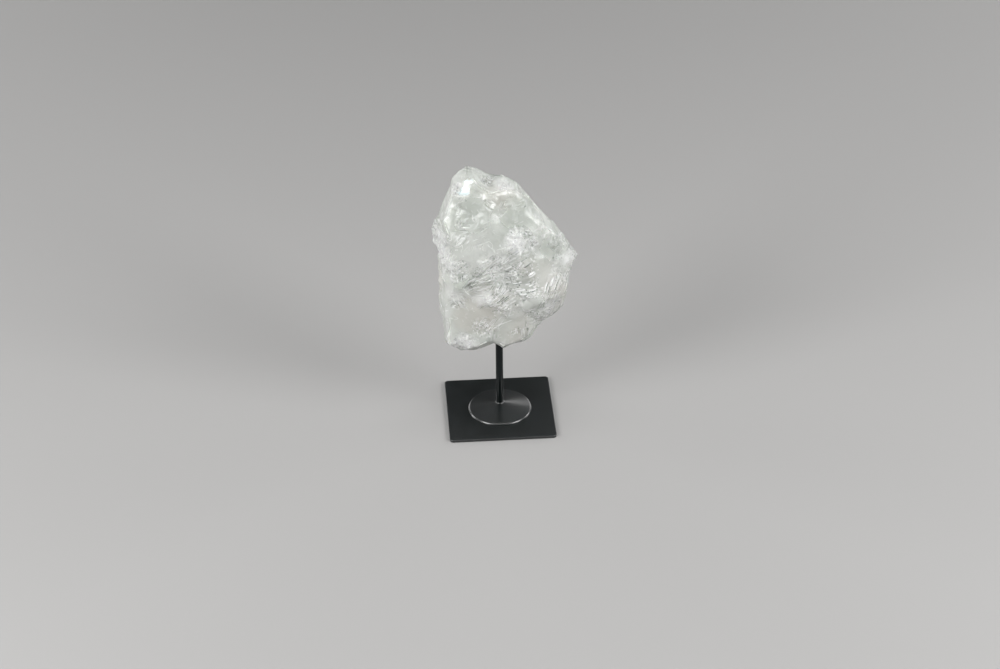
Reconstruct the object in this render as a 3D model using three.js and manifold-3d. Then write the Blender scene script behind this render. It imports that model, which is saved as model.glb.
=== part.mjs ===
// A broken block of rock crystal on its display stand. The stone is drilled on its underside and stands on
// a round steel rod, which rises from a shallow cone on a square steel plate.
// Millimetres, +Z up. The origin is on the rod's axis, at the underside of the plate. X runs along the
// plate's front edge, and the front faces -Y.

import * as THREE from "three";
import { TessellateModifier } from "three/addons/modifiers/TessellateModifier.js";
import { mergeVertices } from "three/addons/utils/BufferGeometryUtils.js";
import Module from "manifold-3d";

const wasm = await Module();
wasm.setup();

// Plate: 4 inch square steel, its corners rounded and both its edges softened.
const PLATE_SIDE = 101.6;
const PLATE_THICKNESS = 2.6;
const PLATE_CORNER_RADIUS = 4;
const PLATE_EDGE_ROUND = 0.8;

// Cone: lies on the plate, with a rounded rim and a small weld fillet round the rod.
const CONE_RADIUS = 30.3;
const CONE_RIM_ROUND = 2.2;
const CONE_RISE = 6.7;
const WELD_FILLET = 1;

// Rod
const ROD_RADIUS = 3.5;
const ROD_CHAMFER = 0.6;
const ROD_SEAT_DEPTH = 1.4;
const ROD_TOP = 105;
const FIT_GAP = 0.3;

// Stone: its frame is the rod's axis, turned a little on the rod.
const STONE_TURN = -3.7;
const STONE_CENTRE = { x: 2, z: 172 };
const STONE_SEED = 7;

// Vertices closer than this are one vertex.
const WELD_DISTANCE = 1e-4;

// A closed geometry as a solid that can be cut and joined.
function solidOf(geometry) {
  const bare = geometry.clone();
  bare.deleteAttribute("normal");
  bare.deleteAttribute("uv");
  const merged = mergeVertices(bare, WELD_DISTANCE);
  return new wasm.Manifold(
    new wasm.Mesh({
      numProp: 3,
      vertProperties: merged.attributes.position.array,
      triVerts: new Uint32Array(merged.index.array),
    }),
  );
}

// A solid back as a geometry.
function geometryOf(solid) {
  const mesh = solid.getMesh();
  const geometry = new THREE.BufferGeometry();
  geometry.setAttribute("position", new THREE.BufferAttribute(mesh.vertProperties, 3));
  geometry.setIndex(new THREE.BufferAttribute(mesh.triVerts, 1));
  geometry.computeVertexNormals();
  return geometry;
}

// An upright cylinder between two heights on the rod's axis.
function uprightCylinder(radius, bottom, top) {
  return new THREE.CylinderGeometry(radius, radius, top - bottom, 32)
    .rotateX(Math.PI / 2)
    .translate(0, 0, (bottom + top) / 2);
}

// A profile of [radius, height] points turned round the rod's axis.
function turned(profile, segments) {
  const points = profile.map(([radius, height]) => new THREE.Vector2(radius, height));
  return new THREE.LatheGeometry(points, segments).rotateX(Math.PI / 2);
}

// Points of a quarter circle in a profile, from one angle to the other, in degrees.
function arc([centreRadius, centreHeight], radius, from, to, steps) {
  return Array.from({ length: steps + 1 }, (_, i) => {
    const angle = THREE.MathUtils.degToRad(from + ((to - from) * i) / steps);
    return [centreRadius + radius * Math.cos(angle), centreHeight + radius * Math.sin(angle)];
  });
}

// Base plate: a rounded square with both edges rounded, and a blind seat for the rod's foot.
function basePlate() {
  const half = PLATE_SIDE / 2 - PLATE_EDGE_ROUND;
  const corner = PLATE_CORNER_RADIUS - PLATE_EDGE_ROUND;
  const outline = new THREE.Shape();
  outline.moveTo(-half + corner, -half);
  outline.lineTo(half - corner, -half);
  outline.absarc(half - corner, -half + corner, corner, -Math.PI / 2, 0);
  outline.lineTo(half, half - corner);
  outline.absarc(half - corner, half - corner, corner, 0, Math.PI / 2);
  outline.lineTo(-half + corner, half);
  outline.absarc(-half + corner, half - corner, corner, Math.PI / 2, Math.PI);
  outline.lineTo(-half, -half + corner);
  outline.absarc(-half + corner, -half + corner, corner, Math.PI, Math.PI * 1.5);
  const slab = new THREE.ExtrudeGeometry(outline, {
    depth: PLATE_THICKNESS - 2 * PLATE_EDGE_ROUND,
    bevelThickness: PLATE_EDGE_ROUND,
    bevelSize: PLATE_EDGE_ROUND,
    bevelSegments: 2,
    curveSegments: 6,
  }).translate(0, 0, PLATE_EDGE_ROUND);
  const seatFloor = PLATE_THICKNESS - ROD_SEAT_DEPTH;
  const seat = uprightCylinder(ROD_RADIUS + FIT_GAP, seatFloor, PLATE_THICKNESS + 1);
  return geometryOf(solidOf(slab).subtract(solidOf(seat)));
}

// Cone collar: flat underside on the plate, rounded rim, straight flank, fillet and bore at the rod.
function coneCollar() {
  const bore = ROD_RADIUS + FIT_GAP;
  const top = PLATE_THICKNESS + CONE_RISE;
  const profile = [
    [bore, PLATE_THICKNESS],
    [CONE_RADIUS, PLATE_THICKNESS],
    ...arc([CONE_RADIUS - CONE_RIM_ROUND, PLATE_THICKNESS], CONE_RIM_ROUND, 15, 80, 4),
    [bore + 2 * WELD_FILLET, top],
    ...arc([bore + 2 * WELD_FILLET, top + 2 * WELD_FILLET], 2 * WELD_FILLET, 250, 190, 3),
    [bore, top + 1.6 * WELD_FILLET],
    [bore, PLATE_THICKNESS],
  ];
  return turned(profile, 48);
}

// Rod: round bar with both ends chamfered, its foot in the plate's seat and its head in the stone.
function standRod() {
  const foot = PLATE_THICKNESS - ROD_SEAT_DEPTH + FIT_GAP;
  const profile = [
    [0, foot],
    [ROD_RADIUS - ROD_CHAMFER, foot],
    [ROD_RADIUS, foot + ROD_CHAMFER],
    [ROD_RADIUS, ROD_TOP - ROD_CHAMFER],
    [ROD_RADIUS - ROD_CHAMFER, ROD_TOP],
    [0, ROD_TOP],
  ];
  return turned(profile, 32);
}

// Stone ----------------------------------------------------------------------------------------

// The stone's outline from in front, as [x, z], from the sharp right-hand corner round by the top.
const OUTLINE = [
  [74, 174], [72, 180], [63, 191.5], [60.5, 196], [50.5, 209.5], [46, 212.5], [40, 221], [32.5, 229],
  [28, 236.5], [17.5, 249.5], [11, 253.5], [4.5, 256.5], [-6.5, 256.5], [-12, 259.5], [-24.5, 266.5],
  [-29, 265.5], [-37, 260], [-42, 254], [-44, 246], [-47.5, 240], [-50, 232], [-56, 218], [-61, 205],
  [-61.5, 188], [-57, 180.5], [-55.5, 170], [-55, 143.5], [-56, 134], [-55.5, 120], [-52, 104],
  [-52.5, 90], [-49.5, 84], [-36.5, 76], [-21.5, 77], [-5.5, 83], [5, 78.5], [9, 82], [21, 84],
  [29.5, 90], [36.5, 101], [43.5, 109], [55, 116], [62, 127.5], [64, 138], [66, 148.5], [67, 156],
  [69.5, 167],
];

// The outline leans back as it rises: its depth at a height.
const outlineDepth = (z) => -11 + 0.095 * (z - 72);

// Rings of the uncut block, each the outline drawn in to a share of itself and pushed to a depth.
const BLOCK_RINGS = [
  { share: 0.5, push: -46 },
  { share: 0.8, push: -36 },
  { share: 0.925, push: -19 },
  { share: 1, push: 0 },
  { share: 0.94, push: 19 },
  { share: 0.8, push: 36 },
  { share: 0.5, push: 46 },
];
const BLOCK_SLANT = 0.36;
const BLOCK_UNEVENNESS = 2.5;
const BLOCK_CROWN = 2;

// Fracture faces. Each is part of a large hollow sphere that passes the point [x, depth, z]. Its outward
// direction turns from the front to the right, and rises, in degrees.
const MAIN_FRONT = { at: [-8, -34, 172], turn: -3, rise: 8, radius: 420 };
const FRACTURES = [
  // front
  MAIN_FRONT,
  { at: [-24, -25, 226], turn: -16, rise: 22, radius: 300 },
  { at: [20, -22, 222], turn: 16, rise: 24, radius: 280 },
  { at: [40, -25, 186], turn: 30, rise: 12, radius: 300 },
  { at: [62, -17, 158], turn: 56, rise: 0, radius: 240 },
  { at: [43, -22, 124], turn: 38, rise: -20, radius: 220 },
  { at: [-28, -32, 118], turn: -10, rise: 0, radius: 260 },
  { at: [14, -31, 112], turn: 10, rise: -12, radius: 240 },
  { at: [-54, -12, 196], turn: -58, rise: 8, radius: 180 },
  { at: [-50, -22, 146], turn: -50, rise: 0, radius: 220 },
  { at: [-30, -26, 88], turn: -14, rise: -44, radius: 160 },
  { at: [22, -24, 94], turn: 16, rise: -46, radius: 160 },
  // back
  { at: [-10, 30, 158], turn: 172, rise: 2, radius: 420 },
  { at: [40, 25, 176], turn: 140, rise: 8, radius: 260 },
  { at: [-16, 28, 230], turn: 190, rise: 30, radius: 300 },
  { at: [26, 26, 222], turn: 154, rise: 30, radius: 280 },
  { at: [-14, 24, 112], turn: 190, rise: -26, radius: 280 },
  { at: [34, 23, 124], turn: 150, rise: -24, radius: 260 },
  { at: [-48, 18, 178], turn: 232, rise: 6, radius: 220 },
  { at: [-44, 17, 120], turn: 226, rise: -16, radius: 200 },
];
const FRACTURE_FACET = 60;

// Lumps that stand proud of the fractures: the knob at the top left and the nub over the rod.
const LUMPS = [
  { at: [-30, -7, 246], size: [15, 15, 16] },
  { at: [3, -8, 90], size: [9, 9, 13] },
];

// Small breaks: the surface is parted into grains about as far apart as GRAIN, each a little face of its
// own that is lifted and tilted. They stand out where the stone is rough and fade on its smooth faces.
const GRAIN = 13;
const GRAIN_LIFT = 0.8;
const GRAIN_TILT = 0.26;
const SMOOTH_SHARE = 0.3;
const ROUGH_FADE = [0.7, 1.2];
const ROUGH_SPOTS = [
  { at: [-6, -36, 158], reach: 34 },
  { at: [-56, -8, 178], reach: 32 },
  { at: [46, -16, 116], reach: 34 },
  { at: [-30, -14, 250], reach: 18 },
  { at: [-34, -24, 100], reach: 14 },
  { at: [10, 32, 190], reach: 40 },
  { at: [-30, 24, 110], reach: 36 },
  { at: [40, 20, 130], reach: 30 },
];
const LONGEST_EDGE = 10.6;
const SPLITTING_ROUNDS = 12;

// Feather streaks: shallow grooves that fan out over the front from one point, between two angles from +X
// and two distances. Each turns a few degrees more than its ray.
const FAN = { x: -44, z: 118, from: 6, to: 74, near: 22, far: 96, extraTurn: 9 };
const STREAKS = { count: 18, length: [16, 30], width: 3.6, depth: 1.1 };
const IN_FRONT_OF_STONE = -100;

// Random numbers from 0 to 1, the same on every run.
function seededRandom(seed) {
  let state = seed;
  return () => {
    state = (state + 0x6d2b79f5) | 0;
    let mixed = Math.imul(state ^ (state >>> 15), 1 | state);
    mixed = (mixed + Math.imul(mixed ^ (mixed >>> 7), 61 | mixed)) ^ mixed;
    return ((mixed ^ (mixed >>> 14)) >>> 0) / 4294967296;
  };
}

// The uncut block: rings joined by triangles, and a point at the middle of the front and of the back.
function stoneBlock(random) {
  const rings = BLOCK_RINGS.map(({ share, push }) =>
    OUTLINE.map(([x, z]) => {
      const loose = push === 0 ? 0 : BLOCK_UNEVENNESS;
      return new THREE.Vector3(
        STONE_CENTRE.x + share * (x - STONE_CENTRE.x) + loose * (random() - 0.5),
        outlineDepth(z) + push + loose * (random() - 0.5),
        STONE_CENTRE.z + share * (z - STONE_CENTRE.z) - BLOCK_SLANT * push,
      );
    }),
  );
  const count = OUTLINE.length;
  const points = rings.flat();
  const front = points.length;
  const back = front + 1;
  const first = BLOCK_RINGS[0].push - BLOCK_CROWN;
  const last = BLOCK_RINGS[BLOCK_RINGS.length - 1].push + BLOCK_CROWN;
  points.push(new THREE.Vector3(STONE_CENTRE.x, first, STONE_CENTRE.z - BLOCK_SLANT * first));
  points.push(new THREE.Vector3(STONE_CENTRE.x, last, STONE_CENTRE.z - BLOCK_SLANT * last));
  const faces = [];
  for (let i = 0; i < count; i++) {
    const next = (i + 1) % count;
    const lastRing = (rings.length - 1) * count;
    faces.push(front, i, next);
    faces.push(back, lastRing + next, lastRing + i);
    for (let ring = 0; ring < rings.length - 1; ring++) {
      const here = ring * count;
      const behind = here + count;
      faces.push(here + i, behind + i, here + next);
      faces.push(here + next, behind + i, behind + next);
    }
  }
  const geometry = new THREE.BufferGeometry().setFromPoints(points);
  geometry.setIndex(faces);
  return geometry;
}

// A unit direction that turns from the front (-Y) to the right, and rises, in degrees.
function outward(turn, rise) {
  const around = THREE.MathUtils.degToRad(turn);
  const up = THREE.MathUtils.degToRad(rise);
  return new THREE.Vector3(Math.sin(around) * Math.cos(up), -Math.cos(around) * Math.cos(up), Math.sin(up));
}

// A ball of even facets, turned at random so that no two cuts share a pattern.
function ball(centre, radius, facet, random) {
  const detail = Math.max(2, Math.round((1.1 * radius) / facet));
  const geometry = new THREE.IcosahedronGeometry(radius, detail);
  geometry.rotateX(Math.PI * random());
  geometry.rotateY(Math.PI * random());
  return geometry.translate(centre.x, centre.y, centre.z);
}

// An uneven lump.
function lump([x, depth, z], [width, thickness, height], random) {
  const geometry = new THREE.DodecahedronGeometry(1, 0);
  geometry.rotateX(Math.PI * random());
  geometry.rotateY(Math.PI * random());
  return geometry.scale(width, thickness, height).translate(x, depth, z);
}

// How rough the surface is at a point, from SMOOTH_SHARE to 1.
function roughness(point) {
  const nearest = Math.min(
    ...ROUGH_SPOTS.map(({ at, reach }) => point.distanceTo(new THREE.Vector3(...at)) / reach),
  );
  return THREE.MathUtils.lerp(1, SMOOTH_SHARE, THREE.MathUtils.smoothstep(nearest, ...ROUGH_FADE));
}

// The surface in small triangles, each vertex moved in or out to the little face that it belongs to.
function broken(solid, random) {
  const splitter = new TessellateModifier(LONGEST_EDGE, SPLITTING_ROUNDS);
  const fine = splitter.modify(geometryOf(solid));
  fine.deleteAttribute("normal");
  const geometry = mergeVertices(fine, WELD_DISTANCE);
  geometry.computeBoundingBox();
  const { min, max } = geometry.boundingBox;
  const size = max.clone().sub(min);
  const middle = min.clone().add(max).multiplyScalar(0.5);
  const count = Math.round((size.x * size.y * size.z) / GRAIN ** 3);
  const signed = () => 2 * random() - 1;
  const grains = Array.from({ length: count }, () => ({
    centre: new THREE.Vector3(random(), random(), random()).multiply(size).add(min),
    tilt: new THREE.Vector3(signed(), signed(), signed()).multiplyScalar(GRAIN_TILT),
    lift: GRAIN_LIFT * signed(),
  }));
  const { position } = geometry.attributes;
  for (let i = 0; i < position.count; i++) {
    const point = new THREE.Vector3().fromBufferAttribute(position, i);
    const out = point.clone().sub(middle).divide(size).divide(size).normalize();
    const grain = grains.reduce((best, other) =>
      other.centre.distanceToSquared(point) < best.centre.distanceToSquared(point) ? other : best,
    );
    const rise = grain.lift + grain.tilt.dot(point.clone().sub(grain.centre));
    point.addScaledVector(out, roughness(point) * rise);
    position.setXYZ(i, ...point);
  }
  return geometry;
}

// Grooves that fan out over the front, each a long thin ball sunk into the surface where it is met from
// in front.
function streaks(surface, random) {
  const mesh = new THREE.Mesh(surface);
  const grooves = [];
  for (let i = 0; i < STREAKS.count; i++) {
    const share = (i + random()) / STREAKS.count;
    const angle = THREE.MathUtils.degToRad(THREE.MathUtils.lerp(FAN.from, FAN.to, share));
    const reach = THREE.MathUtils.lerp(FAN.near, FAN.far, random());
    const start = new THREE.Vector3(
      FAN.x + reach * Math.cos(angle),
      IN_FRONT_OF_STONE,
      FAN.z + reach * Math.sin(angle),
    );
    const [hit] = new THREE.Raycaster(start, new THREE.Vector3(0, 1, 0)).intersectObject(mesh);
    const out = hit.face.normal;
    const length = THREE.MathUtils.lerp(...STREAKS.length, random());
    const lie = angle + THREE.MathUtils.degToRad(FAN.extraTurn);
    const along = new THREE.Vector3(Math.cos(lie), 0, Math.sin(lie));
    along.addScaledVector(out, -along.dot(out)).normalize();
    const tilt = new THREE.Matrix4().makeBasis(along, new THREE.Vector3().crossVectors(out, along), out);
    const middle = hit.point.addScaledVector(out, STREAKS.depth);
    grooves.push(
      new THREE.IcosahedronGeometry(1, 1)
        .scale(length / 2, STREAKS.width / 2, 2 * STREAKS.depth)
        .applyMatrix4(tilt)
        .translate(...middle),
    );
  }
  return grooves;
}

// Quartz: the block is broken back to its fractures, roughened, streaked and drilled for the rod.
function quartz() {
  const random = seededRandom(STONE_SEED);
  let body = solidOf(stoneBlock(random));
  for (const { at, turn, rise, radius } of FRACTURES) {
    const centre = new THREE.Vector3(...at).addScaledVector(outward(turn, rise), radius);
    body = body.subtract(solidOf(ball(centre, radius, FRACTURE_FACET, random)));
  }
  for (const { at, size } of LUMPS) {
    body = body.add(solidOf(lump(at, size, random)));
  }
  const surface = broken(body, random);
  body = solidOf(surface);
  for (const groove of streaks(surface, random)) {
    body = body.subtract(solidOf(groove));
  }
  const hole = uprightCylinder(ROD_RADIUS + FIT_GAP, 0, ROD_TOP + FIT_GAP);
  return geometryOf(body.subtract(solidOf(hole)));
}

// Assembly -------------------------------------------------------------------------------------

const blackSteel = new THREE.MeshStandardMaterial({ color: 0x1b1f1f, roughness: 0.45, metalness: 0.1 });
const rockCrystal = new THREE.MeshStandardMaterial({ color: 0xdfe3de, roughness: 0.25, metalness: 0 });

function piece(name, geometry, material) {
  const mesh = new THREE.Mesh(geometry, material);
  mesh.name = name;
  return mesh;
}

const stone = new THREE.Group();
stone.rotation.z = THREE.MathUtils.degToRad(STONE_TURN);
stone.add(piece("quartz", quartz(), rockCrystal));

const object = new THREE.Group();
object.add(piece("base_plate", basePlate(), blackSteel));
object.add(piece("cone_collar", coneCollar(), blackSteel));
object.add(piece("rod", standRod(), blackSteel));
object.add(stone);

export default object;
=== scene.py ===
"""Quartz crystal on its stand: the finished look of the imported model."""

import math

import bmesh
import bpy
from mathutils import Matrix, Vector


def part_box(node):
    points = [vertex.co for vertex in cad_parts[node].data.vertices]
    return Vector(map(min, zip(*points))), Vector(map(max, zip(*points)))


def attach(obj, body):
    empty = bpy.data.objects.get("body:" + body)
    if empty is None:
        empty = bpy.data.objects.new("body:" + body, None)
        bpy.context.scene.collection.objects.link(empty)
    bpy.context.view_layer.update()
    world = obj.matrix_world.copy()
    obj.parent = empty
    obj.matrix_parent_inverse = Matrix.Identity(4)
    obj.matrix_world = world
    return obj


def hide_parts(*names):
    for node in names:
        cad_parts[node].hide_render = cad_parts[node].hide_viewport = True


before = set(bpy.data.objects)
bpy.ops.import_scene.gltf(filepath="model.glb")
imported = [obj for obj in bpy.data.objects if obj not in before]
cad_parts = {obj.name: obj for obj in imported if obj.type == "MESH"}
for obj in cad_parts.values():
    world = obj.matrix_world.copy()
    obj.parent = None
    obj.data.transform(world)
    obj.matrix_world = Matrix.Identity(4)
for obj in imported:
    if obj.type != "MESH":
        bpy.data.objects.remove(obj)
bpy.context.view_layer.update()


# --- Base plate -----------------------------------------------------------------
# A 4 inch square of 2.6 mm steel sheet with its corners and edges ground round.
# It is sprayed satin black together with the cone that stands on it.
MM = 0.001
PLATE_SIDE = 101.6 * MM
PLATE_THICKNESS = 2.6 * MM
PLATE_CORNER = 4 * MM
PLATE_EDGE = 0.5 * MM
CORNER_STEPS = 14
EDGE_STEPS = 5
PLATE_SMOOTH = 30                # edges below this many degrees are shaded round

PAINT_BLACK = "#090d0d"
PAINT_WORN = "#12181a"
PAINT_DUST = "#8b918c"
RUB_SIZE = 22 * MM
DUST_SPACING = 3.4 * MM
PEEL_SIZE = 1.3 * MM
PEEL_DEPTH = 0.12 * MM


def linear(hex_colour):
    """An sRGB hex colour as the linear colour that a shader takes."""
    parts = [int(hex_colour[i:i + 2], 16) / 255 for i in (1, 3, 5)]
    return tuple(
        c / 12.92 if c <= 0.04045 else ((c + 0.055) / 1.055) ** 2.4 for c in parts
    ) + (1.0,)


def add(tree, kind, inputs=(), **settings):
    """One node with its settings and links. Each input takes a value, a socket, or another
    node, which stands for its first output."""
    made = tree.nodes.new(kind)
    for name, value in settings.items():
        setattr(made, name, value)
    inputs = inputs if isinstance(inputs, dict) else dict(enumerate(inputs))
    for key, value in inputs.items():
        if isinstance(value, bpy.types.Node):
            value = value.outputs[0]
        if isinstance(value, bpy.types.NodeSocket):
            tree.links.new(value, made.inputs[key])
        else:
            made.inputs[key].default_value = value
    return made


def new_material(name):
    """An empty node material and its tree."""
    made = bpy.data.materials.new(name)
    made.use_nodes = True
    made.node_tree.nodes.clear()
    return made, made.node_tree


def piece_from(name, mesh, material, smooth=40):
    """The finished piece: at the origin, with one material, and shaded smooth across edges
    of less than so many degrees."""
    mesh.materials.clear()
    mesh.materials.append(material)
    made = bpy.data.objects.new(name, mesh)
    bpy.context.scene.collection.objects.link(made)
    if smooth:
        mesh.shade_smooth()
        mesh.set_sharp_from_angle(angle=math.radians(smooth))
    return made


# Satin black paint, sprayed on bare steel. The spray leaves a fine orange peel, and the
# finish is duller where hands and cloths have rubbed it. A few specks of dust lie on it,
# drawn about 0.3 mm across because finer ones don't show.
black_paint, tree = new_material("satin_black_sprayed_paint")
place = add(tree, "ShaderNodeTexCoord").outputs["Object"]
rubbed = add(tree, "ShaderNodeTexNoise", {
    "Vector": place, "Scale": 1 / RUB_SIZE, "Detail": 5.0, "Roughness": 0.62})
dust = add(tree, "ShaderNodeTexVoronoi", {"Vector": place, "Scale": 1 / DUST_SPACING})
grain = add(tree, "ShaderNodeMapRange", (dust, 0.035, 0.055, 0.55, 0.0))
few = add(tree, "ShaderNodeSeparateColor", (dust.outputs["Color"],))
few = add(tree, "ShaderNodeMapRange", (few, 0.80, 0.95))
dust_here = add(tree, "ShaderNodeMath", (grain, few), operation="MULTIPLY")
tone = add(tree, "ShaderNodeMapRange", (rubbed, 0.45, 0.75, 0.0, 0.5))
worn = add(tree, "ShaderNodeMix", {
    0: tone, 6: linear(PAINT_BLACK), 7: linear(PAINT_WORN)}, data_type="RGBA").outputs[2]
dusty = add(tree, "ShaderNodeMix", {
    0: dust_here, 6: worn, 7: linear(PAINT_DUST)}, data_type="RGBA").outputs[2]
gloss = add(tree, "ShaderNodeMapRange", (rubbed, 0.3, 0.7, 0.34, 0.44))
peel = add(tree, "ShaderNodeTexNoise", {
    "Vector": place, "Scale": 1 / PEEL_SIZE, "Detail": 2.0, "Roughness": 0.5})
bump = add(tree, "ShaderNodeBump", {
    "Height": peel, "Strength": 0.12, "Distance": PEEL_DEPTH})
paint = add(tree, "ShaderNodeBsdfPrincipled", {
    "Base Color": dusty, "Roughness": gloss, "IOR": 1.5, "Normal": bump,
    "Coat Weight": 1.0, "Coat Roughness": 0.22, "Coat IOR": 1.5, "Coat Normal": bump})
add(tree, "ShaderNodeOutputMaterial", {"Surface": paint})


def rounded_square(half, corner, steps):
    """The points of a square's outline with round corners, from +X turning left."""
    points = []
    for quarter in range(4):
        middle = math.pi / 4 + quarter * math.pi / 2
        cx = (half - corner) * math.copysign(1, math.cos(middle))
        cy = (half - corner) * math.copysign(1, math.sin(middle))
        for step in range(steps + 1):
            turn = quarter * math.pi / 2 + step / steps * math.pi / 2
            points.append((cx + corner * math.cos(turn), cy + corner * math.sin(turn)))
    return points


def plate_mesh():
    """The plate as one closed skin: outline rings up the round edge, flat faces within."""
    skin = bmesh.new()
    half = PLATE_SIDE / 2
    rings = []
    turns = [step / EDGE_STEPS * math.pi / 2 for step in range(EDGE_STEPS + 1)]
    profile = [(1 - math.sin(t), 1 - math.cos(t)) for t in turns]
    levels = [(PLATE_EDGE * inset, PLATE_EDGE * rise) for inset, rise in profile]
    levels += [(inset, PLATE_THICKNESS - rise) for inset, rise in reversed(levels)]
    for inset, height in levels:
        outline = rounded_square(half - inset, PLATE_CORNER - inset, CORNER_STEPS)
        rings.append([skin.verts.new((x, y, height)) for x, y in outline])
    count = len(rings[0])
    for low, high in zip(rings, rings[1:]):
        for i in range(count):
            j = (i + 1) % count
            skin.faces.new((low[i], low[j], high[j], high[i]))
    skin.faces.new(list(reversed(rings[0])))
    skin.faces.new(rings[-1])
    made = bpy.data.meshes.new("base_plate_skin")
    skin.to_mesh(made)
    skin.free()
    return made


plate = piece_from("plate", plate_mesh(), black_paint, smooth=PLATE_SMOOTH)
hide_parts("base_plate")
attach(plate, "root")


# --- Cone -----------------------------------------------------------------------
# A shallow spun steel cone with a rolled rim. It stands on the plate, hides the joint
# between plate and rod, and runs up into the weld round the rod's foot.
CONE_RADIUS = 30.3 * MM
CONE_RIM = 2.2 * MM
RIM_ROLL = 0.3 * MM
WELD_CENTRE = (4.7 * MM, 10.6 * MM)
WELD_RADIUS = 1.0 * MM
WELD_TOP = 11.0 * MM
ROD_RADIUS = 3.5 * MM
CONE_GAP = 0.02 * MM             # the sheet stands just clear of the rod and the plate
LATHE_STEPS = 160

# The round parts of its outline, from the rolled rim over the shoulder to the weld: the
# middle (radius, height), the radius, the two turns in degrees and the steps between.
CONE_ARCS = [
    ((CONE_RADIUS - RIM_ROLL, PLATE_THICKNESS + RIM_ROLL + CONE_GAP), RIM_ROLL, -90, 0, 6),
    ((CONE_RADIUS - CONE_RIM, PLATE_THICKNESS), CONE_RIM, 22, 80, 9),
    (WELD_CENTRE, WELD_RADIUS, 255, 190, 9),
]


def arc(centre, radius, start, end, steps):
    """Points of an arc, the angles in degrees."""
    points = []
    for i in range(steps + 1):
        turn = math.radians(start + (end - start) * i / steps)
        points.append((centre[0] + radius * math.cos(turn),
                       centre[1] + radius * math.sin(turn)))
    return points


def turned(name, profile, steps):
    """A closed profile of (radius, height) turned once round the rod's axis."""
    skin = bmesh.new()
    rings = []
    for radius, height in profile:
        if radius == 0:
            rings.append([skin.verts.new((0, 0, height))])
            continue
        rings.append([
            skin.verts.new((
                radius * math.cos(2 * math.pi * i / steps),
                radius * math.sin(2 * math.pi * i / steps), height))
            for i in range(steps)
        ])
    pairs = list(zip(rings, rings[1:]))
    if len(rings[0]) > 1:
        pairs.append((rings[-1], rings[0]))
    for low, high in pairs:
        for i in range(steps):
            j = (i + 1) % steps
            corners = [low[i % len(low)], low[j % len(low)],
                       high[j % len(high)], high[i % len(high)]]
            skin.faces.new(list(dict.fromkeys(corners)))
    bmesh.ops.recalc_face_normals(skin, faces=skin.faces)
    made = bpy.data.meshes.new(name)
    skin.to_mesh(made)
    skin.free()
    return made


cone_profile = [
    (ROD_RADIUS + CONE_GAP, PLATE_THICKNESS + CONE_GAP),
    *(point for part in CONE_ARCS for point in arc(*part)),
    (ROD_RADIUS + CONE_GAP, WELD_TOP),
]
cone = piece_from("cone", turned("cone_skin", cone_profile, LATHE_STEPS), black_paint)
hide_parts("cone_collar")
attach(cone, "root")


# --- Rod ------------------------------------------------------------------------
# A 7 mm round bar of mild steel, welded upright in the middle of the plate. Its
# chamfered head goes into the hole that is drilled in the stone's underside.
ROD_FOOT = 1.5 * MM
ROD_TOP = 105 * MM
ROD_CHAMFER = 0.6 * MM
ROD_STEPS = 64
ROD_PAINT_IOR = 1.3
ROD_PAINT_ROUGHNESS = (0.14, 0.2)

rod_profile = [
    (0, ROD_FOOT), (ROD_RADIUS, ROD_FOOT), (ROD_RADIUS, ROD_TOP - ROD_CHAMFER),
    (ROD_RADIUS - ROD_CHAMFER, ROD_TOP), (0, ROD_TOP),
]
# The same paint, brushed on thin and without the clear top coat. It reflects little, so
# the rod stays almost black, with one narrow highlight down its side.
rod_paint = black_paint.copy()
rod_paint.name = "dull_black_brushed_paint"
brushed = next(n for n in rod_paint.node_tree.nodes if n.type == "BSDF_PRINCIPLED")
brushed.inputs["Coat Weight"].default_value = 0.0
brushed.inputs["IOR"].default_value = ROD_PAINT_IOR
sheen = brushed.inputs["Roughness"].links[0].from_node
for end, value in zip(("To Min", "To Max"), ROD_PAINT_ROUGHNESS):
    sheen.inputs[end].default_value = value
rod = piece_from("rod_bar", turned("rod_skin", rod_profile, ROD_STEPS), rod_paint)
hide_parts("rod")
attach(rod, "root")


# --- Quartz ---------------------------------------------------------------------
# One block of rock crystal, broken from a vein and left rough. It is clear to milky,
# with shell-like breaks, small chips and feathered steps. It stands on the rod, whose
# head sits in a hole drilled in the stone's underside.
SKIN_GRID = 0.94 * MM
JOIN_WITHIN = 0.002 * MM
STONE_SMOOTH = 50                # sharper chips than this many degrees keep their edges

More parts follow.
